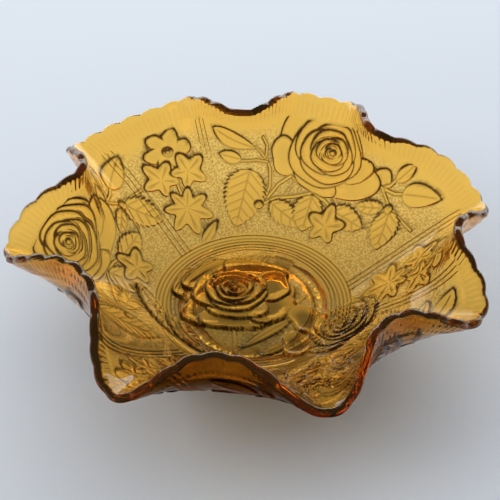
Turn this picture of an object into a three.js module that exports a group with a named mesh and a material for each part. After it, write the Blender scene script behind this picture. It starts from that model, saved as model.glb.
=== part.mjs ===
// Ruffled candy dish in pressed amber glass, with a collar foot, seven crimped folds round its wall and a
// scalloped edge. Millimetres and degrees, +Z up. The origin is on the table, under the middle of the
// dish's overall width and depth.
//
// The dish is one pressing: foot, floor, wall and rim are the same glass, so it is a single mesh.
// It is modelled as it is made. The mould gives a round dish whose wall runs out and up from the floor at
// one length all round. While the glass is soft, a crimping tool lifts the wall at seven folds and lets it
// droop between them, so the rim waves in and out as it waves up and down.
import * as THREE from "three";

// ---- Driving dimensions ----
const FOOT_OUTER_RADIUS = 33; // collar foot, outside
const FOOT_WIDTH = 4.5; // width of the ring that the dish rests on
const FOOT_HEIGHT = 5; // from the table to the floor's underside
const FOOT_DRAFT = 1; // each side of the foot leans in by this much, so that it leaves the mould

const FLOOR_THICKNESS = 5;
const FLOOR_RADIUS = 43.7; // where the wall turns up, at the middle of the glass
const CORNER_LENGTH = 10; // length of the bend between floor and wall

const WALL_LENGTH = 76; // along the middle of the glass, from FLOOR_RADIUS to the edge
const WALL_RISE = 32.5; // slope of the wall where it leaves the floor
const WALL_CURL = 5.8; // how much steeper the moulded wall is at the rim
const WALL_THICKNESS = 4.4; // at the corner
const RIM_THICKNESS = 3.8;
const EDGE_ROUND = 1.2; // how far the fire-polished edge bulges past its two corners

const CRIMP_START = 2.12; // power with which a crimp grows up the wall: high keeps it near the rim
const CRIMP_SHAPE = 2.4; // 2 is a soft fold, higher has a flatter top and steeper flanks
const CRIMP_GATHER = 0.2; // how far the flanks of a fold lean out over the lobes beside it
const LOBE_BLEND = 22; // how softly one lobe's droop passes into the next

// Each fold: where it is round the dish, its half width, how far the tool tilts the wall up, and how much
// shorter the wall is there, where the glass gathers.
const FOLDS = [
  { at: -50.8, halfWidth: 14.5, lift: 36, gather: 0 },
  { at: -7, halfWidth: 11.5, lift: 32, gather: 0 },
  { at: 43.5, halfWidth: 13.5, lift: 50, gather: 2 },
  { at: 93.4, halfWidth: 12.5, lift: 63, gather: 7.5 },
  { at: 160.5, halfWidth: 12, lift: 44, gather: 1 },
  { at: 211.6, halfWidth: 20, lift: 44, gather: 0 },
  { at: 261.7, halfWidth: 16.9, lift: 34, gather: 0 },
];
// How far the wall droops in the lobe that follows each fold.
const DROOPS = [10, 9, 2, 12, 21, 25, 12];

const SCALLOPS = 70; // small scallops in the edge
const SCALLOP_DEPTH = 1.3;

// ---- Mesh density ----
const RIM_POINTS = 3 * SCALLOPS; // points round the rim and the crimped part of the wall
const WALL_POINTS = 105; // points round the lower wall
const FLOOR_POINTS = 70; // points round the floor and foot
const CRIMPED_FROM = 0.55; // share of the wall above which it needs RIM_POINTS
const ARC_STEPS = 1440; // steps in which the rim's length is measured
const PROFILE_STEPS = 60; // steps in which a wall's profile is added up
const SLOPE_STEP = 0.02; // step for the surface's normal, in radians round and in mm up

const TURN = 2 * Math.PI;
const rad = THREE.MathUtils.degToRad;
const wrap = (angle) => THREE.MathUtils.euclideanModulo(angle + Math.PI, TURN) - Math.PI;

// ---- The crimp: how the wall is tilted and shifted round the dish ----
const lobes = FOLDS.map((fold, i) => {
  const next = rad(FOLDS[(i + 1) % FOLDS.length].at);
  return { at: rad(fold.at) + wrap(next - rad(fold.at)) / 2, droop: rad(DROOPS[i]) };
});

function crimp(angle) {
  let weights = 0;
  let droop = 0;
  for (const lobe of lobes) {
    const weight = Math.exp(-((wrap(angle - lobe.at) / rad(LOBE_BLEND)) ** 2));
    weights += weight;
    droop += weight * lobe.droop;
  }
  const lobeTilt = -droop / weights;
  let tilt = lobeTilt;
  let shift = 0;
  let gather = 0;
  for (const fold of FOLDS) {
    const away = wrap(angle - rad(fold.at));
    const height = Math.exp(-(Math.abs(away / rad(fold.halfWidth)) ** CRIMP_SHAPE));
    tilt += (rad(fold.lift) - lobeTilt) * height;
    shift += CRIMP_GATHER * away * height;
    gather += fold.gather * height;
  }
  return { tilt, shift, gather };
}

// ---- The wall's profile: radius and height of the middle of the glass at a length from the centre ----
function slopeAt(length, tilt) {
  const corner = THREE.MathUtils.smoothstep(
    length,
    FLOOR_RADIUS - CORNER_LENGTH / 2,
    FLOOR_RADIUS + CORNER_LENGTH / 2,
  );
  const up = THREE.MathUtils.clamp((length - FLOOR_RADIUS) / WALL_LENGTH, 0, 2);
  const crimped = (tilt * (CRIMP_START + 1)) / 2;
  return rad(WALL_RISE) * corner + rad(WALL_CURL) * up + crimped * up ** CRIMP_START;
}

const FLOOR_MIDDLE = FOOT_HEIGHT + FLOOR_THICKNESS / 2;
const FLAT_RADIUS = FLOOR_RADIUS - CORNER_LENGTH / 2; // the floor is flat up to here

function profilePoint(length, tilt) {
  if (length <= FLAT_RADIUS) return { radius: length, height: FLOOR_MIDDLE };
  const step = (length - FLAT_RADIUS) / PROFILE_STEPS;
  let radius = FLAT_RADIUS;
  let height = FLOOR_MIDDLE;
  for (let i = 0; i < PROFILE_STEPS; i++) {
    const slope = slopeAt(FLAT_RADIUS + (i + 0.5) * step, tilt);
    radius += Math.cos(slope) * step;
    height += Math.sin(slope) * step;
  }
  return { radius, height };
}

// ---- Glass angle: the angle that a point of the rim had in the mould, before it was crimped ----
// The rim keeps its length, so equal lengths of rim are equal glass angles.
const RIM_LENGTH = FLOOR_RADIUS + WALL_LENGTH;
const rimTable = [];
let rimLength = 0;
let lastRim = null;
for (let i = 0; i <= ARC_STEPS; i++) {
  const angle = (i / ARC_STEPS) * TURN;
  const { tilt, shift, gather } = crimp(angle);
  const { radius, height } = profilePoint(RIM_LENGTH - gather, tilt);
  const azimuth = angle + shift;
  const point = new THREE.Vector3(radius * Math.cos(azimuth), radius * Math.sin(azimuth), height);
  if (lastRim) rimLength += point.distanceTo(lastRim);
  lastRim = point;
  rimTable.push({ length: rimLength, azimuth, tilt, gather });
}
// The zero of the glass angle is where it agrees best with the real angle.
const glassOffset =
  rimTable.slice(1).reduce((sum, row) => sum + row.azimuth - (row.length / rimLength) * TURN, 0) / ARC_STEPS;

function rimAt(glassAngle) {
  const turns = Math.floor((glassAngle - glassOffset) / TURN);
  const wanted = ((glassAngle - glassOffset) / TURN - turns) * rimLength;
  let low = 0;
  let high = ARC_STEPS;
  while (high - low > 1) {
    const middle = (low + high) >> 1;
    if (rimTable[middle].length <= wanted) low = middle;
    else high = middle;
  }
  const [a, b] = [rimTable[low], rimTable[high]];
  const share = (wanted - a.length) / (b.length - a.length);
  const between = (key) => a[key] + (b[key] - a[key]) * share;
  return { azimuth: between("azimuth") + turns * TURN, tilt: between("tilt"), gather: between("gather") };
}

// ---- The middle of the glass ----
const wallShare = (length) => THREE.MathUtils.clamp((length - FLOOR_RADIUS) / WALL_LENGTH, 0, 1);

function middlePoint(glassAngle, length) {
  const rim = rimAt(glassAngle);
  const share = wallShare(length);
  const azimuth = glassAngle + (rim.azimuth - glassAngle) * share ** 1.5;
  const { radius, height } = profilePoint(length - rim.gather * share ** 2, rim.tilt);
  return new THREE.Vector3(radius * Math.cos(azimuth), radius * Math.sin(azimuth), height);
}

function upNormal(glassAngle, length) {
  if (length <= FLAT_RADIUS) return new THREE.Vector3(0, 0, 1);
  const round = middlePoint(glassAngle + SLOPE_STEP, length).sub(middlePoint(glassAngle - SLOPE_STEP, length));
  const up = middlePoint(glassAngle, length + SLOPE_STEP).sub(middlePoint(glassAngle, length - SLOPE_STEP));
  return up.cross(round).normalize();
}

// ---- The two faces of the glass, as rings from the centre out to the edge ----
const thicknessAt = (length) => {
  const wall = THREE.MathUtils.lerp(WALL_THICKNESS, RIM_THICKNESS, wallShare(length));
  const corner = THREE.MathUtils.smoothstep(length, FLAT_RADIUS, FLOOR_RADIUS + CORNER_LENGTH);
  return THREE.MathUtils.lerp(FLOOR_THICKNESS, wall, corner);
};

// A scallop is an arch: high in its middle, and a sharp notch between it and the next.
const scallopAt = (glassAngle) => SCALLOP_DEPTH * (Math.abs(Math.cos((glassAngle * SCALLOPS) / 2)) - 1);

function facePoint(glassAngle, length, side) {
  return middlePoint(glassAngle, length).addScaledVector(
    upNormal(glassAngle, length),
    (side * thicknessAt(length)) / 2,
  );
}

function ring(count, makePoint) {
  return Array.from({ length: count }, (_, i) => makePoint((i / count) * TURN));
}

const CRIMPED_LENGTH = FLOOR_RADIUS + CRIMPED_FROM * WALL_LENGTH;
const pointsRound = (length) => {
  if (length <= FLAT_RADIUS) return FLOOR_POINTS;
  return length < CRIMPED_LENGTH ? WALL_POINTS : RIM_POINTS;
};

// Lengths of the wall's rings: close together in the corner and towards the rim, where it bends most.
const cornerRings = [0.2, 0.5, 0.8].map((share) => FLAT_RADIUS + share * CORNER_LENGTH);
const wallRings = [0.13, 0.23, 0.33, 0.44, 0.55, 0.65, 0.74, 0.82, 0.89, 0.95].map(
  (share) => FLOOR_RADIUS + share * WALL_LENGTH,
);

function wallFace(side) {
  return [...cornerRings, ...wallRings].map((length) =>
    ring(pointsRound(length), (angle) => facePoint(angle, length, side)),
  );
}

function rimRing(side) {
  return ring(RIM_POINTS, (angle) => facePoint(angle, RIM_LENGTH + scallopAt(angle), side));
}

function edgeRing() {
  return ring(RIM_POINTS, (angle) => middlePoint(angle, RIM_LENGTH + scallopAt(angle) + EDGE_ROUND));
}

const flatRing = (radius, height) =>
  ring(FLOOR_POINTS, (angle) => new THREE.Vector3(radius * Math.cos(angle), radius * Math.sin(angle), height));

// Inside of the dish, from the floor's centre to the rim.
const FLOOR_TOP = FOOT_HEIGHT + FLOOR_THICKNESS;
const insideRings = [
  flatRing(FOOT_OUTER_RADIUS / 2, FLOOR_TOP),
  flatRing(FLAT_RADIUS, FLOOR_TOP),
  ...wallFace(1),
  rimRing(1),
];

// Outside of the dish, from the rim down under the foot to the underside's centre.
const footInnerRadius = FOOT_OUTER_RADIUS - FOOT_WIDTH;
const outsideRings = [
  edgeRing(),
  rimRing(-1),
  ...wallFace(-1).reverse(),
  flatRing(Math.max(FLAT_RADIUS, FOOT_OUTER_RADIUS + FOOT_DRAFT + 0.2), FOOT_HEIGHT),
  flatRing(FOOT_OUTER_RADIUS + FOOT_DRAFT, FOOT_HEIGHT),
  flatRing(FOOT_OUTER_RADIUS, 0),
  flatRing(footInnerRadius, 0),
  flatRing(footInnerRadius - FOOT_DRAFT, FOOT_HEIGHT),
];

// ---- One closed skin ----
const positions = [];
const triangles = [];

function addPoint(point) {
  positions.push(point.x, point.y, point.z);
  return positions.length / 3 - 1;
}

// Joins two rings that may have different numbers of points, always taking the step that lags behind.
function stitch(inner, outer) {
  let [i, j] = [0, 0];
  while (i < inner.length || j < outer.length) {
    const a = inner[i % inner.length];
    const b = outer[j % outer.length];
    if (j * inner.length <= i * outer.length) {
      triangles.push(a, b, outer[(j + 1) % outer.length]);
      j++;
    } else {
      triangles.push(a, b, inner[(i + 1) % inner.length]);
      i++;
    }
  }
}

function closeWithFan(centre, rim, facesUp) {
  rim.forEach((point, i) => {
    const next = rim[(i + 1) % rim.length];
    triangles.push(centre, facesUp ? point : next, facesUp ? next : point);
  });
}

const skin = [...insideRings, ...outsideRings].map((points) => points.map(addPoint));
closeWithFan(addPoint(new THREE.Vector3(0, 0, FLOOR_TOP)), skin[0], true);
for (let i = 1; i < skin.length; i++) stitch(skin[i - 1], skin[i]);
closeWithFan(addPoint(new THREE.Vector3(0, 0, FOOT_HEIGHT)), skin[skin.length - 1], false);

const geometry = new THREE.BufferGeometry();
geometry.setAttribute("position", new THREE.Float32BufferAttribute(positions, 3));
geometry.setIndex(triangles);
// The folds aren't even, so the foot is a little off the middle of the rim. The origin is under the rim's.
geometry.computeBoundingBox();
const middle = geometry.boundingBox.getCenter(new THREE.Vector3());
geometry.translate(-middle.x, -middle.y, 0);
geometry.computeVertexNormals();

function amberPressedGlass() {
  return new THREE.MeshStandardMaterial({ name: "amber_glass", color: 0xd79a2b, roughness: 0.08, metalness: 0 });
}

const dish = new THREE.Mesh(geometry, amberPressedGlass());
dish.name = "glass_dish";

const candyDish = new THREE.Group();
candyDish.add(dish);

export default candyDish;
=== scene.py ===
"""Ruffled candy dish in clear amber pressed glass, with moulded roses, leaves and ribs under its wall.

The glass is one closed piece. It is drawn flat, as the mould cutter drew it, in millimetres round the middle
of the dish, and then bent: a point's distance from the middle is its length along the wall's profile. The
crimp lifts the wall at seven folds and lets it droop between them, as the solid model does.
"""

import math

import bpy
import numpy as np
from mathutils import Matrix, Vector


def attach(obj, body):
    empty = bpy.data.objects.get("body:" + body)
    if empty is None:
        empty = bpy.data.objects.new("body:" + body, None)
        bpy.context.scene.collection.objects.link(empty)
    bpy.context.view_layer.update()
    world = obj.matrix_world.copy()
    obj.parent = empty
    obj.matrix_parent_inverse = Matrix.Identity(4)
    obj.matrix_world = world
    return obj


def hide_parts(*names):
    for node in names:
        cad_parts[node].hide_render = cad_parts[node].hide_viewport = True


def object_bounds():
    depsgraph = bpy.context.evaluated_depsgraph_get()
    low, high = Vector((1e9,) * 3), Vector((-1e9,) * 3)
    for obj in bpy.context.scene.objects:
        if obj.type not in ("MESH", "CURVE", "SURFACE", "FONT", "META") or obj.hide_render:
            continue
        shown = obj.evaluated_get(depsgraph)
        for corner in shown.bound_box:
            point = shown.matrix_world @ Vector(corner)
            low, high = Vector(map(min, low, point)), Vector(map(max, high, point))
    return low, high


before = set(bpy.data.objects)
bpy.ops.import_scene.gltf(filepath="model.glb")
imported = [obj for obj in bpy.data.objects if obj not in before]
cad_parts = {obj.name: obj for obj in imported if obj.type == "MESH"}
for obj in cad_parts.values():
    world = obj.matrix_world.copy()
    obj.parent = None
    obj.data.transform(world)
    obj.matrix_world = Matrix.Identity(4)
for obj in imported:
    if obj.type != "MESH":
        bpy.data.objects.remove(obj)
cad_low, cad_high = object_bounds()

MM = 0.001
TURN = 2 * math.pi


# ---- Helpers ----
def colour(code):
    """sRGB hex to the linear colour that Blender's sockets take."""
    parts = [int(code[i : i + 2], 16) / 255 for i in (1, 3, 5)]
    linear = [p / 12.92 if p <= 0.04045 else ((p + 0.055) / 1.055) ** 2.4 for p in parts]
    return (*linear, 1.0)


def add(tree, kind, inputs=None, **settings):
    """Adds a node: settings are its properties, and inputs gives a value or a link for each socket."""
    made = tree.nodes.new(kind)
    for name, value in settings.items():
        setattr(made, name, value)
    for name, value in (inputs or {}).items():
        if isinstance(value, bpy.types.NodeSocket):
            tree.links.new(value, made.inputs[name])
        else:
            made.inputs[name].default_value = value
    return made


def smooth(x, low, high):
    t = np.clip((x - low) / (high - low), 0, 1)
    return t * t * (3 - 2 * t)


def wrap(angle):
    return (angle + math.pi) % TURN - math.pi


# ---- The glass: the same sizes as the solid model ----
FOOT_RADIUS, FOOT_WIDTH, FOOT_HEIGHT, FOOT_DRAFT = 33, 4.5, 5, 1
FLOOR_THICKNESS, FLOOR_RADIUS, CORNER_LENGTH = 5, 43.7, 10
WALL_LENGTH, WALL_RISE, WALL_CURL = 76, 32.5, 5.8
WALL_THICKNESS, RIM_THICKNESS, EDGE_ROUND = 4.4, 3.8, 1.2
CRIMP_START, CRIMP_SHAPE, CRIMP_GATHER, LOBE_BLEND = 2.12, 2.4, 0.2, 22
FOLDS = [  # where, half width and lift in degrees, gather in millimetres
    (-50.8, 14.5, 36, 0),
    (-7, 11.5, 32, 0),
    (43.5, 13.5, 50, 2),
    (93.4, 12.5, 63, 7.5),
    (160.5, 12, 44, 1),
    (211.6, 20, 44, 0),
    (261.7, 16.9, 34, 0),
]
DROOPS = [10, 9, 2, 12, 21, 25, 12]  # degrees, between each fold and the next
SCALLOPS, SCALLOP_DEPTH = 70, 1.3

RIM = FLOOR_RADIUS + WALL_LENGTH
FLAT = FLOOR_RADIUS - CORNER_LENGTH / 2
PROFILE_STEPS = 60


def lobe_middles():
    for (at, *_), (after, *_), droop in zip(FOLDS, FOLDS[1:] + FOLDS[:1], DROOPS):
        at = math.radians(at)
        yield at + wrap(math.radians(after) - at) / 2, math.radians(droop)


def crimp(angle):
    """How far the crimp tilts, shifts and shortens the wall at an angle round the dish."""
    weights, droop = 0, 0
    for middle, depth in lobe_middles():
        weight = np.exp(-((wrap(angle - middle) / math.radians(LOBE_BLEND)) ** 2))
        weights = weights + weight
        droop = droop + weight * depth
    lobe_tilt = -droop / weights
    tilt, shift, gather = lobe_tilt.copy(), np.zeros_like(angle), np.zeros_like(angle)
    for at, half_width, lift, gathered in FOLDS:
        away = wrap(angle - math.radians(at))
        height = np.exp(-np.abs(away / math.radians(half_width)) ** CRIMP_SHAPE)
        tilt += (math.radians(lift) - lobe_tilt) * height
        shift += CRIMP_GATHER * away * height
        gather += gathered * height
    return tilt, shift, gather


def profile(length, tilt):
    """Radius and height of the middle of the glass, by adding up its slope."""
    step = np.maximum(length - FLAT, 0) / PROFILE_STEPS
    radius = np.minimum(length, FLAT).astype(float)
    height = np.full_like(radius, FOOT_HEIGHT + FLOOR_THICKNESS / 2)
    for i in range(PROFILE_STEPS):
        along = FLAT + (i + 0.5) * step
        up = np.clip((along - FLOOR_RADIUS) / WALL_LENGTH, 0, 2)
        corner = smooth(along, FLAT, FLAT + CORNER_LENGTH)
        slope = math.radians(WALL_RISE) * corner + math.radians(WALL_CURL) * up
        slope = slope + tilt * (CRIMP_START + 1) / 2 * up**CRIMP_START
        radius += np.cos(slope) * step
        height += np.sin(slope) * step
    return radius, height


def rim_table(steps=1440):
    """The crimp against the length of rim before it, so that equal lengths of rim are equal glass angles."""
    angle = np.arange(steps + 1) / steps * TURN
    tilt, shift, gather = crimp(angle)
    radius, height = profile(RIM - gather, tilt)
    around = angle + shift
    points = np.stack([radius * np.cos(around), radius * np.sin(around), height], -1)
    length = np.append(0, np.cumsum(np.linalg.norm(np.diff(points, axis=0), axis=1)))
    turned = length / length[-1] * TURN
    return turned, around, tilt, gather, np.mean(around[1:] - turned[1:])


RIM_TURNED, RIM_AROUND, RIM_TILT, RIM_GATHER, RIM_OFFSET = rim_table()


def middle(angle, length):
    """Points in the middle of the glass, in millimetres."""
    turns = np.floor((angle - RIM_OFFSET) / TURN)
    turned = angle - RIM_OFFSET - turns * TURN
    around, tilt, gather = (np.interp(turned, RIM_TURNED, t) for t in (RIM_AROUND, RIM_TILT, RIM_GATHER))
    share = np.clip((length - FLOOR_RADIUS) / WALL_LENGTH, 0, 1)
    azimuth = angle + (around + turns * TURN - angle) * share**1.5
    radius, height = profile(length - gather * share**2, tilt)
    return np.stack([radius * np.cos(azimuth), radius * np.sin(azimuth), height], -1)


def up_normal(angle, length, reach=0.006):
    """Unit normals towards the inside of the dish."""
    round_step = middle(angle + reach, length) - middle(angle - reach, length)
    up_step = middle(angle, length + reach * 50) - middle(angle, length - reach * 50)
    normal = np.cross(up_step, round_step)
    normal /= np.linalg.norm(normal, axis=-1, keepdims=True)
    normal[length <= FLAT] = (0, 0, 1)
    return normal


def thickness(length):
    share = np.clip((length - FLOOR_RADIUS) / WALL_LENGTH, 0, 1)
    wall = WALL_THICKNESS + (RIM_THICKNESS - WALL_THICKNESS) * share
    return FLOOR_THICKNESS + (wall - FLOOR_THICKNESS) * smooth(length, FLAT, FLOOR_RADIUS + CORNER_LENGTH)


# ---- Drawing tools for the mould, in millimetres on the flat drawing ----
def local(x, y, at, turn):
    """Coordinates along and across a line that starts at a point and is turned by degrees."""
    cos, sin = math.cos(math.radians(turn)), math.sin(math.radians(turn))
    dx, dy = x - at[0], y - at[1]
    return dx * cos + dy * sin, dy * cos - dx * sin


def between(start, end):
    return math.degrees(math.atan2(end[1] - start[1], end[0] - start[0])), math.dist(start, end)


def polar(at, reach, degrees):
    return at[0] + reach * math.cos(math.radians(degrees)), at[1] + reach * math.sin(math.radians(degrees))


class Cut:
    """A part of the mould's face: its points, the height cut at each, and how much painted shade lies there.
    The painted shade is a dark stroke along each step, heaviest on the side of each shape that faces the
    rim."""

    def __init__(self, x, y, shade=0.18, stroke=0.62):
        self.x, self.y = x, y
        self.height, self.painted_shade = np.zeros_like(x), np.zeros_like(x)
        self.shade, self.stroke = shade, stroke
        length = np.maximum(np.hypot(x, y), 1e-6)
        self.to_rim = x / length, y / length

    def lay(self, distance, height, at, painted_shade=0.0, edge=1.0, soft=0.6, facing=None):
        """Lays a shape over what is there. Distance is negative inside it; at is its middle."""
        inside = np.clip(0.5 - distance / soft, 0, 1)
        moat = np.clip(1 - np.abs(distance - 0.6) / 0.9, 0, 1)
        low = np.minimum(self.height, height * 0.4)
        self.height += (low - self.height) * moat
        self.height += (height - self.height) * inside
        # Painted shade: a dark stroke just outside the shape's edge, darker and wider on the side that faces
        # the rim; inside the shape, its own painted shade replaces what lay under it.
        dx, dy = self.x - at[0], self.y - at[1]
        reach = np.maximum(np.hypot(dx, dy), 1e-6)
        rimward = (dx * self.to_rim[0] + dy * self.to_rim[1]) / reach
        weight = 0.45 + 0.55 * smooth(rimward, -0.5, 0.6)
        if facing is not None:
            dx, dy = local(self.x, self.y, at, facing)
            weight = (0.3 + 0.7 * weight) * smooth(dx / reach, -0.75, 0.1)
        width = self.stroke * (0.45 + 0.75 * weight)
        painted_stroke = edge * np.minimum(weight * 1.8 * np.exp(-(((distance - 0.15) / width) ** 2)), 1)
        self.painted_shade = np.maximum(self.painted_shade * (1 - inside) + painted_shade * inside, painted_stroke)

    def petal(self, at, long, wide, turn, level, lip=0.5, facing=None, edge=1.0, waver=0.05):
        """A cupped petal: low in its middle and highest at its edge."""
        u, v = local(self.x, self.y, at, turn)
        around = np.arctan2(v, u)
        outline = 1 + waver * np.sin(3 * around + turn) + waver * 0.6 * np.sin(5 * around + turn)
        rho = np.maximum(np.hypot(u / long, v / wide) / outline, 1e-6)
        distance = (rho - 1) * np.hypot(u, v) / rho
        # Painted shade: darker in the petal's hollow middle, lighter towards its lip.
        shade = self.shade * smooth(rho, 0.95, 0.3)
        self.lay(distance, level + lip * np.minimum(rho, 1) ** 3, at, shade, edge, facing=facing)

    def rose(self, at, size, squash, turn, level, rise, count, first=200, step=137.5, lip=0.5):
        """Petals wound round a heart: each lies over the ones outside it and shows its outer edge."""
        for i in range(count):
            share = i / count
            reach = size * (1 - share) ** 0.9
            way = first + step * i
            middle_of = polar(at, reach * 0.2, way)
            self.petal(middle_of, reach, reach * squash, turn, level + rise * share, lip, way, 1.0, 0.04)
        self.petal(at, size / count, size / count, 0, level + rise, 0.2)

    def leaf(self, base, tip, width, level=0.9, teeth=0, fullness=0.8):
        """A leaf or bud from its stalk to its tip, with a midrib, side veins and a toothed edge."""
        turn, length = between(base, tip)
        u, v = local(self.x, self.y, base, turn)
        t = np.clip(u / length, 0, 1)
        half = width / 2 * np.sin(math.pi * t**fullness) ** 0.7
        if teeth:
            half = half * (1 + 0.2 * ((t * teeth) % 1 - 0.5))
        across = np.abs(v)
        distance = np.maximum(across - half, np.abs(u - length / 2) - length / 2)
        swell = level * (0.7 + 0.3 * (1 - np.clip(across / np.maximum(half, 0.1), 0, 1) ** 2))
        midrib = np.exp(-((across / 0.5) ** 2)) * smooth(t, 0, 0.1) * smooth(t, 1, 0.8)
        veins = np.zeros_like(u)
        if teeth:
            pitch = length / teeth * 2
            line = ((u - across * 0.85) / pitch + 0.25) % 1
            veins = np.exp(-(((line - 0.5) * pitch / 0.55) ** 2)) * smooth(across, half, half * 0.7)
        vein = np.maximum(midrib, veins)
        middle_of = polar(base, length / 2, turn)
        # Painted shade: the sunk midrib and veins are darkened.
        self.lay(distance, swell - 0.35 * vein, middle_of, 0.65 * vein)

    def stem(self, points, width=0.8, height=0.75):
        """A raised stalk along a line of points, with a thin dark line of painted shade on each side."""
        distance = np.full_like(self.x, 1e3)
        for start, end in zip(points[:-1], points[1:]):
            turn, length = between(start, end)
            u, v = local(self.x, self.y, start, turn)
            distance = np.minimum(distance, np.hypot(u - np.clip(u, 0, length), v))
        ridge = height * np.sqrt(np.clip(1 - (distance / (width + 0.3)) ** 2, 0, 1))
        inside = distance < width
        self.height = np.maximum(self.height, ridge)
        # Painted shade: a dark line along each side of the stalk.
        line = np.exp(-(((distance - width - 0.2) / 0.42) ** 2))
        self.painted_shade = np.maximum(np.where(inside, 0, self.painted_shade), line)

    def lobed(self, at, radius, turn, lobes, level=0.85, depth=0.4, sharp=1.9):
        """A lobed leaf, with a vein in each lobe."""
        u, v = local(self.x, self.y, at, turn)
        around, reach = np.arctan2(v, u), np.hypot(u, v)
        wave = 1 - np.abs(np.sin(lobes * around / 2)) ** sharp
        outline = radius * (1 - depth + depth * wave) * (1.08 + 0.16 * np.cos(around))
        vein = smooth(wave, 0.75, 1) * smooth(reach, outline, outline * 0.6)
        # Painted shade: the sunk vein in each lobe is darkened.
        self.lay((reach - outline) * 0.85, level - 0.35 * vein, at, 0.6 * vein)

    def flower(self, at, radius, turn, petals=6):
        """A flat open flower with a round boss in its middle."""
        for i in range(petals):
            way = turn + 360 / petals * i
            self.petal(polar(at, radius * 0.58, way), radius * 0.46, radius * 0.33, way, 0.55, 0.3, way)
        self.dot(at, 2.4, 1.1)
        self.dot(at, 1.1, 0.7)

    def dot(self, at, radius, height):
        self.lay(np.hypot(self.x - at[0], self.y - at[1]) - radius, height, at, soft=0.5)


# ---- The pattern under the wall: three rose panels and three flower panels, cut alike in the mould ----
ROSE_PANELS = [60, 171.5, 300]  # degrees round the mould
FLOWER_PANELS = [120, 240, 0]
ROSE_DRAWN_AT, FLOWER_DRAWN_AT = 60, 120
PANEL_REACH = 62  # degrees to each side of a panel's middle
PATTERN_START = (46, 48)  # the pattern fades in and out over these lengths along the profile
PATTERN_END = (107.5, 109)
GROUND_END = (96, 107)


def rose_panel(cut):
    """Drawn for the panel at 60 degrees."""
    cut.petal((41, 84.5), 27, 21, -38, 0.35, 0.5, waver=0.02)
    cut.petal((73, 60), 5, 4.6, 20, 0.3, 0.4)
    cut.petal((47, 70), 28, 11, -27, 0.45, 0.5)
    cut.petal((19, 86), 8, 10.4, 8, 0.5, 0.4)
    cut.petal((33, 71), 13, 5.5, -42, 0.6, 0.4)
    cut.petal((58, 68.5), 12, 6, -12, 0.6, 0.4)
    cut.rose((43.5, 83.5), 19.5, 0.8, -36, 0.8, 1.1, 15)

    cut.stem([(6, 98), (8.3, 93), (7.5, 87), (9.5, 80), (9, 71), (4, 62)], 0.6)
    cut.stem([(2, 93), (7, 86)], 0.5)
    cut.stem([(-5, 85), (2, 85.5), (8, 84)], 0.5)
    cut.stem([(4, 62), (12, 65), (22, 64.5), (30, 65), (37, 60), (42, 53), (54, 46)], 0.7)
    cut.stem([(8, 66), (14, 72), (21, 75)], 0.7)
    cut.leaf((2, 92), (-20.5, 102), 10, 0.9, 0, 1.3)
    cut.leaf((-5, 86), (-17, 88), 7, 0.8)
    cut.leaf((-1, 80.5), (-8.5, 50.5), 20, 0.9, 13, 0.75)
    cut.leaf((9, 63), (24, 49), 11, 0.6, 7)
    cut.leaf((31, 64), (24, 46.5), 15, 0.85, 8)
    cut.leaf((41, 54), (55, 40), 12, 0.6, 7)
    cut.lobed((36, 46.5), 9.5, 60, 5, 0.9)
    cut.dot((3, 62), 2, 1.0)

    cut.stem([(70, 56), (75, 55), (82, 57)], 0.7)
    cut.stem([(70, 56), (76, 50), (82, 47)], 0.7)
    cut.stem([(70, 56), (71, 47), (75, 37), (80, 27)], 0.6)
    cut.leaf((79, 55.5), (93.5, 58), 7, 1.0)
    cut.leaf((80, 48), (98, 36.5), 12, 0.9, 0, 0.7)
    cut.leaf((71, 43), (61, 25), 16, 0.8, 8)
    cut.leaf((68, 46), (54, 52), 7, 0.5, 7)
    cut.dot((70.5, 44), 2.3, 1.0)


def flower_panel(cut):
    """Drawn for the panel at 120 degrees."""
    cut.stem([(-45, 80), (-43, 75), (-40, 69.5), (-36.5, 62), (-34, 54)], 0.6)
    cut.flower((-46, 84.5), 12, 30)
    cut.lobed((-47.5, 69), 9.2, 150, 5)
    cut.lobed((-35, 76), 9.2, 55, 5)
    cut.lobed((-33.5, 57), 11.5, -60, 7, 0.9)
    cut.leaf((-24, 40), (-18, 53), 5, 0.6)


def under_relief(x, y):
    """Height and painted shade of the pattern under the wall."""
    height, painted_shade = np.zeros_like(x), np.zeros_like(x)
    panels = [(turn, ROSE_DRAWN_AT, rose_panel) for turn in ROSE_PANELS]
    panels += [(turn, FLOWER_DRAWN_AT, flower_panel) for turn in FLOWER_PANELS]
    for turn, drawn_at, draw in panels:
        px, py = local(x, y, (0, 0), turn - drawn_at)
        off_middle = wrap(np.arctan2(py, px) - math.radians(drawn_at))
        near = np.abs(off_middle) < math.radians(PANEL_REACH)
        cut = Cut(px[near], py[near])
        draw(cut)
        fresh = (cut.height > 0.01) | (cut.painted_shade > 0.05)
        height[near] = np.where(fresh, cut.height, height[near])
        painted_shade[near] = np.where(fresh, cut.painted_shade, painted_shade[near])
    length = np.hypot(x, y)
    kept = smooth(length, *PATTERN_START) * (1 - smooth(length, *PATTERN_END))
    return height * kept, painted_shade * kept


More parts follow.
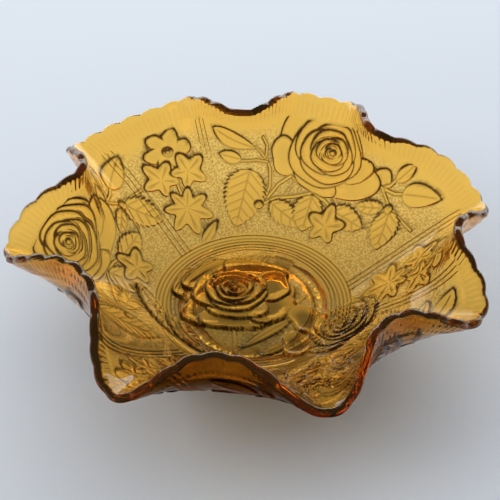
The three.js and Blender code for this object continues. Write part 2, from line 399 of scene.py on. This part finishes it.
# ---- The pattern inside, on the floor: an open rose, its bud and leaves, and a second rose ----
def floor_relief(x, y):
    # Painted shade is strong here: the petals' hollows are darkened far more than under the wall.
    cut = Cut(x, y, 0.8, 0.55)
    cut.leaf((-57, 4), (-33, -25), 9, 1.1, 9)
    cut.leaf((-40, -10), (-22, -34), 8, 1.0, 9)
    cut.leaf((17, -13.5), (-5, -31), 5, 0.9)
    cut.leaf((15, -28.5), (4, -36), 4, 0.8)
    cut.stem([(-8.6, -20), (-8, -34)], 0.8)
    cut.stem([(24, 2), (20, -4), (16, -14)], 0.5, 0.5)
    cut.leaf((17.5, 9.5), (17.5, -1), 4, 1.3)

    cut.petal((-26, 6), 10, 15, 25, 0.4, 2.0, 190, 1.0, 0.09)
    cut.petal((-20, 15), 13, 9, 30, 0.5, 2.0, 130, 1.0, 0.09)
    cut.petal((0, 17), 15, 8.5, -12, 0.5, 2.0, 75, 1.0, 0.09)
    cut.petal((-22, -9), 12, 9, -30, 0.6, 2.1, 220, 1.0, 0.1)
    cut.petal((-9, -12), 15, 8.5, -3, 0.7, 2.1, 270, 1.0, 0.1)
    cut.petal((7, -7), 12, 9, 20, 0.9, 2.0, 300, 1.0, 0.08)
    cut.petal((9, 7), 8, 10, -10, 1.0, 1.9, 10, 1.0, 0.05)
    cut.petal((-7, -6), 14, 8, -3, 1.2, 1.9, 265, 1.0, 0.06)
    cut.petal((-18, 4), 10, 11, 10, 1.2, 1.8, 170, 1.0, 0.06)
    cut.rose((-8.5, 5), 14, 0.8, -6, 1.6, 1.8, 11, 280, 137.5, 1.0)

    cut.petal((33, -33), 10, 5.5, -20, 0.5, 1.0, 250, 0.7)
    cut.petal((19.5, -29.5), 6.5, 7.5, 15, 0.6, 1.1, 210, 0.7, 0.09)
    cut.petal((23.5, -13), 7, 9, 20, 0.7, 1.1, 170, 0.7, 0.07)
    cut.rose((43.5, -18), 16, 0.78, 32, 0.7, 1.2, 13, 230, 137.5, 0.5)
    return cut.height, cut.painted_shade


# ---- The fine mesh: rings of points from the middle of the floor, over the rim and back under the foot ----
PATTERN_STEP = 0.5  # spacing of points where the pattern is cut
FLOOR_STEP = 0.62
RING_BAND = (34.6, 45.9)  # fine rings round the foot
RING_STEP = 0.42
RIB_SPAN = (47.0, 109.0)  # lengths along the profile where the ribs start and end
BORDER = 108.5  # where the plain border of the rim starts
MOST_TRIANGLES = 196000
HATCHES = 280  # short ribs round the border
EDGE_POINTS = 8 * SCALLOPS
FINE_FLOOR = 62  # the floor's pattern reaches this far up the inside


def glass_rows():
    """Each row: number of points, length along the profile, place across the glass, drop to the foot."""
    rows = []
    for length in np.arange(1.8, FINE_FLOOR, FLOOR_STEP):
        rows.append((round(TURN * length / FLOOR_STEP), length, 1, 0))
    for length in np.linspace(FINE_FLOOR, RIM - 1, 24):
        rows.append((480, length, 1, 0))
    for slant in (90, 55, 25, 0, -25, -55, -90):
        along, across = math.cos(math.radians(slant)), math.sin(math.radians(slant))
        rows.append((EDGE_POINTS, RIM + EDGE_ROUND * along, across, 0))
    for length in np.linspace(RIM - 1, BORDER, 8):
        rows.append((4 * HATCHES, length, -1, 0))
    for length in np.arange(BORDER - PATTERN_STEP, RING_BAND[1], -PATTERN_STEP):
        spread = 1 + 0.12 * (length - FLOOR_RADIUS) / WALL_LENGTH
        rows.append((round(TURN * length * spread / PATTERN_STEP), length, -1, 0))
    for length in np.arange(RING_BAND[1], RING_BAND[0], -RING_STEP):
        rows.append((400, length, -1, 0))
    inner = FOOT_RADIUS - FOOT_WIDTH
    foot = [
        (RING_BAND[0], 0),
        (FOOT_RADIUS + FOOT_DRAFT, 0.3),
        (FOOT_RADIUS + 0.1, 4.2),
        (FOOT_RADIUS - 0.5, FOOT_HEIGHT),
        (inner + 0.5, FOOT_HEIGHT),
        (inner - 0.1, 4.2),
        (inner - FOOT_DRAFT, 0.3),
        (inner - FOOT_DRAFT - 0.6, 0),
        (inner / 2, 0),
    ]
    rows += [(180, radius, -1, drop) for radius, drop in foot]
    return rows


def stitch(first, second):
    """Triangles between two rings of point numbers, always taking the step that lags behind."""
    n, m = len(first), len(second)
    steps_first = (np.arange(n) + 0.5) / n
    steps_second = (np.arange(m) + 0.5) / m
    passed = np.searchsorted(steps_first, steps_second, side="left")
    out = np.stack([first[passed % n], second, np.roll(second, -1)], -1)
    passed = np.searchsorted(steps_second, steps_first, side="right")
    back = np.stack([first, second[passed % m], np.roll(first, -1)], -1)
    return np.concatenate([out, back])


def fan(point, ring, upward):
    after = np.roll(ring, -1)
    centre = np.full_like(ring, point)
    return np.stack([centre, ring, after] if upward else [centre, after, ring], -1)


def amber_glass_blank():
    """The whole pressing as one closed mesh, in metres, with what the rule-based cuts need as attributes."""
    rows = glass_rows()
    counts = np.array([row[0] for row in rows])
    starts = np.append(0, np.cumsum(counts))
    angle = np.concatenate([np.arange(n) / n * TURN for n in counts])
    length, across, drop = (np.repeat([row[i] for row in rows], counts).astype(float) for i in (1, 2, 3))
    scallop = SCALLOP_DEPTH * (np.abs(np.cos(angle * SCALLOPS / 2)) - 1)
    length += scallop * smooth(length, RIM - 8, RIM)

    x, y = length * np.cos(angle), length * np.sin(angle)
    relief, line, ground = np.zeros_like(x), np.zeros_like(x), np.zeros_like(x)
    under = (across == -1) & (length > RING_BAND[0] + 0.3) & (length < RIM - 0.5)
    relief[under], line[under] = under_relief(x[under], y[under])
    plain = relief < 0.02
    ground[(across == 1) & (length < FLAT)] = 0.8
    punched = smooth(length, *PATTERN_START) * (1 - smooth(length, *GROUND_END))
    ground[under & plain] = punched[under & plain]
    inside = (across == 1) & (length < FINE_FLOOR)
    relief[inside], line[inside] = floor_relief(x[inside], y[inside])
    ground[inside] *= relief[inside] < 0.02

    normal = up_normal(angle, length)
    side = np.sign(across)
    offset = across * thickness(np.minimum(length, RIM)) / 2 + side * relief
    points = middle(angle, length) + normal * offset[:, None]
    points[:, 2] -= drop
    centre = (points.min(0) + points.max(0)) / 2
    points[:, :2] -= centre[:2]
    top = FOOT_HEIGHT + FLOOR_THICKNESS + floor_relief(*np.zeros((2, 1)))[0][0]
    middles = [[-centre[0], -centre[1], top], [-centre[0], -centre[1], FOOT_HEIGHT]]

    rings = [np.arange(a, b) for a, b in zip(starts[:-1], starts[1:])]
    faces = [stitch(a, b) for a, b in zip(rings[:-1], rings[1:])]
    faces += [fan(len(points), rings[0], True), fan(len(points) + 1, rings[-1], False)]
    vertices = np.concatenate([points, middles]) * MM
    triangles = np.concatenate(faces)

    mesh = bpy.data.meshes.new("glass_dish_fine")
    mesh.from_pydata(vertices.tolist(), [], triangles.tolist())
    values = {
        "mould_angle": angle,
        "mould_length": length,
        "outside": under.astype(float),
        "line": line,
        "ground": ground,
    }
    for name, value in values.items():
        mesh.attributes.new(name, "FLOAT", "POINT").data.foreach_set("value", np.append(value, [0, 0]))
    away = np.concatenate([normal * side[:, None], [[0, 0, 1], [0, 0, -1]]])
    mesh.attributes.new("away", "FLOAT_VECTOR", "POINT").data.foreach_set("vector", away.ravel())
    mesh.shade_smooth()
    return mesh


# ---- Geometry Nodes: what the mould cutter repeated by rule ----
def mould_cuts_tree(material):
    """Rings round the foot, triple ribs beside each flower panel, and the border's line and short ribs, all
    cut along the glass's own normal."""
    tree = bpy.data.node_groups.new("mould_cuts", "GeometryNodeTree")
    face = tree.interface
    face.new_socket("Geometry", in_out="INPUT", socket_type="NodeSocketGeometry")
    sizes = {
        "Ring band inner": RING_BAND[0],
        "Ring band outer": RING_BAND[1],
        "Rings": 6.0,
        "Ring depth": 0.5,
        "Rib panel turn": math.radians(120),
        "Rib half angle": math.radians(13.6),
        "Rib spacing": 2.7,
        "Rib height": 0.65,
        "Hatches": float(HATCHES),
        "Hatch start": 110.4,
        "Hatch end": 116.6,
        "Hatch height": 0.3,
        "Border line": 109.3,
    }
    for name, value in sizes.items():
        face.new_socket(name, in_out="INPUT", socket_type="NodeSocketFloat").default_value = value
    face.new_socket("Geometry", in_out="OUTPUT", socket_type="NodeSocketGeometry")
    group = add(tree, "NodeGroupInput").outputs

    def attribute(name, kind="FLOAT"):
        node = add(tree, "GeometryNodeInputNamedAttribute", {"Name": name}, data_type=kind)
        return node.outputs["Attribute"]

    def do(operation, a, b=0.0, c=0.0):
        return add(tree, "ShaderNodeMath", {0: a, 1: b, 2: c}, operation=operation).outputs[0]

    def window(value, low, high, soft=0.5):
        """1 between two sizes and 0 outside them."""
        rise = add(tree, "ShaderNodeMapRange", {0: value, 1: do("SUBTRACT", low, soft), 2: low}).outputs[0]
        fall = add(tree, "ShaderNodeMapRange", {0: value, 1: high, 2: do("ADD", high, soft)}).outputs[0]
        return do("MULTIPLY", rise, do("SUBTRACT", 1.0, fall))

    angle, length = attribute("mould_angle"), attribute("mould_length")

    # Rings: broad flat bands with a narrow groove between each two.
    band = do("SUBTRACT", group["Ring band outer"], group["Ring band inner"])
    place = do("DIVIDE", do("SUBTRACT", length, group["Ring band inner"]), band)
    beat = do("ABSOLUTE", do("COSINE", do("MULTIPLY", do("MULTIPLY", place, group["Rings"]), math.pi)))
    groove = do("MULTIPLY", do("POWER", beat, 4.0), window(place, 0.0, 1.0, 0.02))
    rings = do("MULTIPLY", groove, do("MULTIPLY", group["Ring depth"], -1.0))

    # Ribs: the angle is folded so that one formula cuts the ribs on both sides of every flower panel.
    folded = do("ABSOLUTE", do("WRAP", angle, do("MULTIPLY", group["Rib panel turn"], 0.5),
                               do("MULTIPLY", group["Rib panel turn"], -0.5)))
    off = do("MULTIPLY", length, do("SINE", do("SUBTRACT", folded, group["Rib half angle"])))
    which = do("ABSOLUTE", off)
    ridge_place = do("PINGPONG", which, do("MULTIPLY", group["Rib spacing"], 0.5))
    ridge = do("SUBTRACT", 1.0, do("MULTIPLY", ridge_place, 1.6))
    near = window(which, 0.0, do("MULTIPLY", group["Rib spacing"], 1.25), 0.1)
    near = do("MULTIPLY", near, window(length, *RIB_SPAN, 1.5))
    rib = do("MULTIPLY", do("MAXIMUM", ridge, 0.0), near)
    ribs = do("MULTIPLY", rib, group["Rib height"])
    between_ribs = do("SUBTRACT", do("MULTIPLY", group["Rib spacing"], 0.5), ridge_place)
    valley = do("MAXIMUM", do("SUBTRACT", 1.0, do("MULTIPLY", between_ribs, 2.2)), 0.0)
    valley = do("MULTIPLY", valley, near)

    # Border: a thin raised line, then short ribs.
    off_line = do("ABSOLUTE", do("SUBTRACT", length, group["Border line"]))
    border_line = do("MULTIPLY", do("MAXIMUM", do("SUBTRACT", 1.0, off_line), 0.0), 0.4)
    wave = do("ADD", do("MULTIPLY", do("COSINE", do("MULTIPLY", angle, group["Hatches"])), 0.5), 0.5)
    hatch_shape = do("MULTIPLY", wave, window(length, group["Hatch start"], group["Hatch end"], 1.0))
    hatch = do("MULTIPLY", hatch_shape, group["Hatch height"])

    total = do("ADD", do("ADD", rings, ribs), do("ADD", border_line, hatch))
    total = do("MULTIPLY", do("MULTIPLY", total, attribute("outside")), MM)
    offset = add(tree, "ShaderNodeVectorMath", {0: attribute("away", "FLOAT_VECTOR"), "Scale": total},
                 operation="SCALE").outputs[0]
    moved = add(tree, "GeometryNodeSetPosition", {"Geometry": group["Geometry"], "Offset": offset})
    # Painted shade: the grooves between the rings, the valleys between the ribs and the short ribs are
    # darkened, and added to the line attribute.
    painted_shade_marks = do("ADD", do("MULTIPLY", groove, 0.9), do("MULTIPLY", valley, 0.85))
    painted_shade_marks = do("ADD", painted_shade_marks, do("MULTIPLY", hatch_shape, 0.1))
    painted_shade_marks = do("MULTIPLY", painted_shade_marks, attribute("outside"))
    painted_shade_marks = do("MINIMUM", do("ADD", attribute("line"), painted_shade_marks), 1.0)
    stored = add(tree, "GeometryNodeStoreNamedAttribute",
                 {"Geometry": moved.outputs[0], "Name": "line", "Value": painted_shade_marks}, data_type="FLOAT",
                 domain="POINT")
    real = add(tree, "GeometryNodeRealizeInstances", {"Geometry": stored.outputs[0]})
    dressed = add(tree, "GeometryNodeSetMaterial", {"Geometry": real.outputs[0], "Material": material})
    add(tree, "NodeGroupOutput", {"Geometry": dressed.outputs[0]})
    return tree


def cut_by_rule(blank, tree, name):
    """Runs the tree on the blank and gives the result as a plain mesh object."""
    rough = bpy.data.objects.new("blank", blank)
    bpy.context.scene.collection.objects.link(rough)
    rough.modifiers.new("mould_cuts", "NODES").node_group = tree
    # Flat places need few triangles, so they are thinned there and kept where the pattern is.
    thin = rough.modifiers.new("thin", "DECIMATE")
    thin.ratio = MOST_TRIANGLES / len(blank.polygons)
    evaluated = rough.evaluated_get(bpy.context.evaluated_depsgraph_get())
    mesh = bpy.data.meshes.new_from_object(evaluated)
    mesh.name = name
    rough.modifiers.clear()
    bpy.data.objects.remove(rough)
    made = bpy.data.objects.new(name, mesh)
    bpy.context.scene.collection.objects.link(made)
    return made


# ---- Material ----
DOT_SPACING, DOT_DEPTH = 0.95, 0.2  # of the punched ground, in millimetres


def pressed_amber_glass():
    """Soda-lime glass coloured in the melt, so that thick places are deeper orange. The mould leaves it
    bright where it is plain and hazy on the punched ground. A thin sprayed lustre turns its reflections
    golden. The line attribute darkens the base colour as painted shade along the steps of the pattern."""
    material = bpy.data.materials.new("pressed_amber_glass")
    material.use_nodes = True
    tree = material.node_tree
    tree.nodes.clear()
    line = add(tree, "ShaderNodeAttribute", attribute_name="line").outputs["Fac"]
    ground = add(tree, "ShaderNodeAttribute", attribute_name="ground").outputs["Fac"]
    place = add(tree, "ShaderNodeTexCoord").outputs["Object"]
    # The punch's dots are about a millimetre apart, and each shows as a dark fleck.
    dots = add(tree, "ShaderNodeTexNoise", {"Vector": place, "Scale": 1 / (DOT_SPACING * MM), "Detail": 0.0})
    fleck = add(tree, "ShaderNodeMapRange", {0: dots.outputs[0], 1: 0.42, 2: 0.6}).outputs[0]
    punched = add(tree, "ShaderNodeMix", {0: fleck, 6: colour("#c6a562"), 7: colour("#f8e6b4")},
                  data_type="RGBA").outputs[2]
    clear = add(tree, "ShaderNodeMix", {0: ground, 6: colour("#ffd778"), 7: punched},
                data_type="RGBA").outputs[2]
    # Painted shade: where the line attribute is high, the glass is tinted almost black.
    tint = add(tree, "ShaderNodeMix", {0: line, 6: clear, 7: colour("#0e0401")}, data_type="RGBA").outputs[2]
    haze = add(tree, "ShaderNodeMapRange", {0: ground, 3: 0.03, 4: 0.16}).outputs[0]
    strength = add(tree, "ShaderNodeMath", {0: ground, 1: 0.5}, operation="MULTIPLY").outputs[0]
    bump = add(tree, "ShaderNodeBump", {"Strength": strength, "Distance": DOT_DEPTH * MM,
                                        "Height": dots.outputs[0]}).outputs[0]
    shader = add(tree, "ShaderNodeBsdfPrincipled", {
        "Base Color": tint,
        "Roughness": haze,
        "IOR": 1.52,
        "Transmission Weight": 0.985,
        "Specular IOR Level": 0.55,
        "Specular Tint": colour("#ffd488"),
        "Normal": bump,
    })
    amber = add(tree, "ShaderNodeVolumeAbsorption", {"Color": colour("#eed200"), "Density": 170.0})
    add(tree, "ShaderNodeOutputMaterial", {"Surface": shader.outputs[0], "Volume": amber.outputs[0]})
    return material


# ---- The piece ----
glass = pressed_amber_glass()
dish = cut_by_rule(amber_glass_blank(), mould_cuts_tree(glass), "glass_dish_fine")
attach(dish, "root")
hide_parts("glass_dish")


# ---- Stage, light and camera ----
STAGE_SIZE = 6.0
SHADOW_MIDDLE, SHADOW_RADIUS, SHADOW_EDGE = (0, -0.17, 0), 0.11, 0.25
SHADOW_SQUASH = (1, 0.75, 1)  # the shadow is a third longer from front to back


def stage_floor():
    mesh = bpy.data.meshes.new("floor")
    half = STAGE_SIZE / 2
    corners = [(-half, -half, 0), (half, -half, 0), (half, half, 0), (-half, half, 0)]
    mesh.from_pydata(corners, [], [(0, 1, 2, 3)])
    floor = bpy.data.objects.new("floor", mesh)
    bpy.context.scene.collection.objects.link(floor)
    material = bpy.data.materials.new("pale_studio_floor")
    material.use_nodes = True
    tree = material.node_tree
    tree.nodes.clear()
    pale = add(tree, "ShaderNodeBsdfDiffuse", {"Color": colour("#dfe4ea")})
    path = add(tree, "ShaderNodeLightPath").outputs
    seen = add(tree, "ShaderNodeMath", {0: path["Is Transmission Ray"], 1: path["Is Glossy Ray"]},
               operation="MAXIMUM").outputs[0]
    # Only the glass sees this: a dark warm shadow in front of the dish, and a bright floor behind it.
    place = add(tree, "ShaderNodeTexCoord").outputs["Object"]
    place = add(tree, "ShaderNodeVectorMath", {0: place, 1: SHADOW_SQUASH}, operation="MULTIPLY").outputs[0]
    reach = add(tree, "ShaderNodeVectorMath", {0: place, 1: SHADOW_MIDDLE}, operation="DISTANCE").outputs[1]
    clear = add(tree, "ShaderNodeMapRange", {0: reach, 1: SHADOW_RADIUS, 2: SHADOW_EDGE}).outputs[0]
    light = add(tree, "ShaderNodeMix", {0: clear, 6: colour("#2a1405"), 7: colour("#f8fafc")},
                data_type="RGBA").outputs[2]
    glow = add(tree, "ShaderNodeEmission", {"Color": light})
    mixed = add(tree, "ShaderNodeMixShader", {0: seen, 1: pale.outputs[0], 2: glow.outputs[0]})
    add(tree, "ShaderNodeOutputMaterial", {"Surface": mixed.outputs[0]})
    mesh.materials.append(material)


def studio_world():
    world = bpy.data.worlds.new("studio")
    bpy.context.scene.world = world
    world.use_nodes = True
    tree = world.node_tree
    tree.nodes.clear()
    way = add(tree, "ShaderNodeTexCoord").outputs["Generated"]
    _, behind, above = add(tree, "ShaderNodeSeparateXYZ", {0: way}).outputs
    level = add(tree, "ShaderNodeMapRange", {0: behind, 1: -0.7, 2: 0.8, 3: 0.35, 4: 1.15}).outputs[0]
    # Reflections see a window low behind the dish, and a dimmer room above it.
    sill = add(tree, "ShaderNodeMapRange", {0: above, 1: 0.35, 2: 0.5, 3: 1.0, 4: 0.0}).outputs[0]
    open_side = add(tree, "ShaderNodeMapRange", {0: behind, 1: 0.5, 2: 0.65}).outputs[0]
    window = add(tree, "ShaderNodeMath", {0: sill, 1: open_side}, operation="MULTIPLY").outputs[0]
    mirrored = add(tree, "ShaderNodeMapRange", {0: window, 3: 0.22, 4: 3.5}).outputs[0]
    path = add(tree, "ShaderNodeLightPath").outputs
    level = add(tree, "ShaderNodeMix", {0: path["Is Glossy Ray"], 2: level, 3: mirrored}).outputs[0]
    level = add(tree, "ShaderNodeMix", {0: path["Is Camera Ray"], 2: level, 3: 0.62}).outputs[0]
    sky = add(tree, "ShaderNodeBackground", {"Color": colour("#e8edf4"), "Strength": level})
    add(tree, "ShaderNodeOutputWorld", {"Surface": sky.outputs[0]})


def softbox(name, place, aim, size, power):
    light = bpy.data.lights.new(name, "AREA")
    light.shape = "RECTANGLE"
    light.size, light.size_y = size
    light.energy = power
    lamp = bpy.data.objects.new(name, light)
    bpy.context.scene.collection.objects.link(lamp)
    lamp.location = place
    lamp.visible_glossy = False
    lamp.rotation_euler = (Vector(aim) - Vector(place)).to_track_quat("-Z", "Y").to_euler()


CAMERA_TILT = 42.56  # degrees below level
CAMERA_DISTANCE = 0.6612
CAMERA_AIM = (0.0007, -0.0083, 0.0504)
CAMERA_LENS = 108


def set_camera():
    data = bpy.data.cameras.new("camera")
    data.lens = CAMERA_LENS
    camera = bpy.data.objects.new("camera", data)
    bpy.context.scene.collection.objects.link(camera)
    tilt = math.radians(CAMERA_TILT)
    back, up = CAMERA_DISTANCE * math.cos(tilt), CAMERA_DISTANCE * math.sin(tilt)
    camera.location = (CAMERA_AIM[0], CAMERA_AIM[1] - back, CAMERA_AIM[2] + up)
    camera.rotation_euler = (math.pi / 2 - tilt, 0, 0)
    bpy.context.scene.camera = camera


stage_floor()
studio_world()
centre = (0, 0, cad_high.z / 2)
softbox("back_softbox", (0.1, 1.1, 0.45), centre, (1.2, 0.5), 8)
softbox("left_softbox", (-0.9, -0.2, 0.8), centre, (0.6, 0.6), 3)
set_camera()
bpy.context.scene.view_settings.view_transform = "Standard"
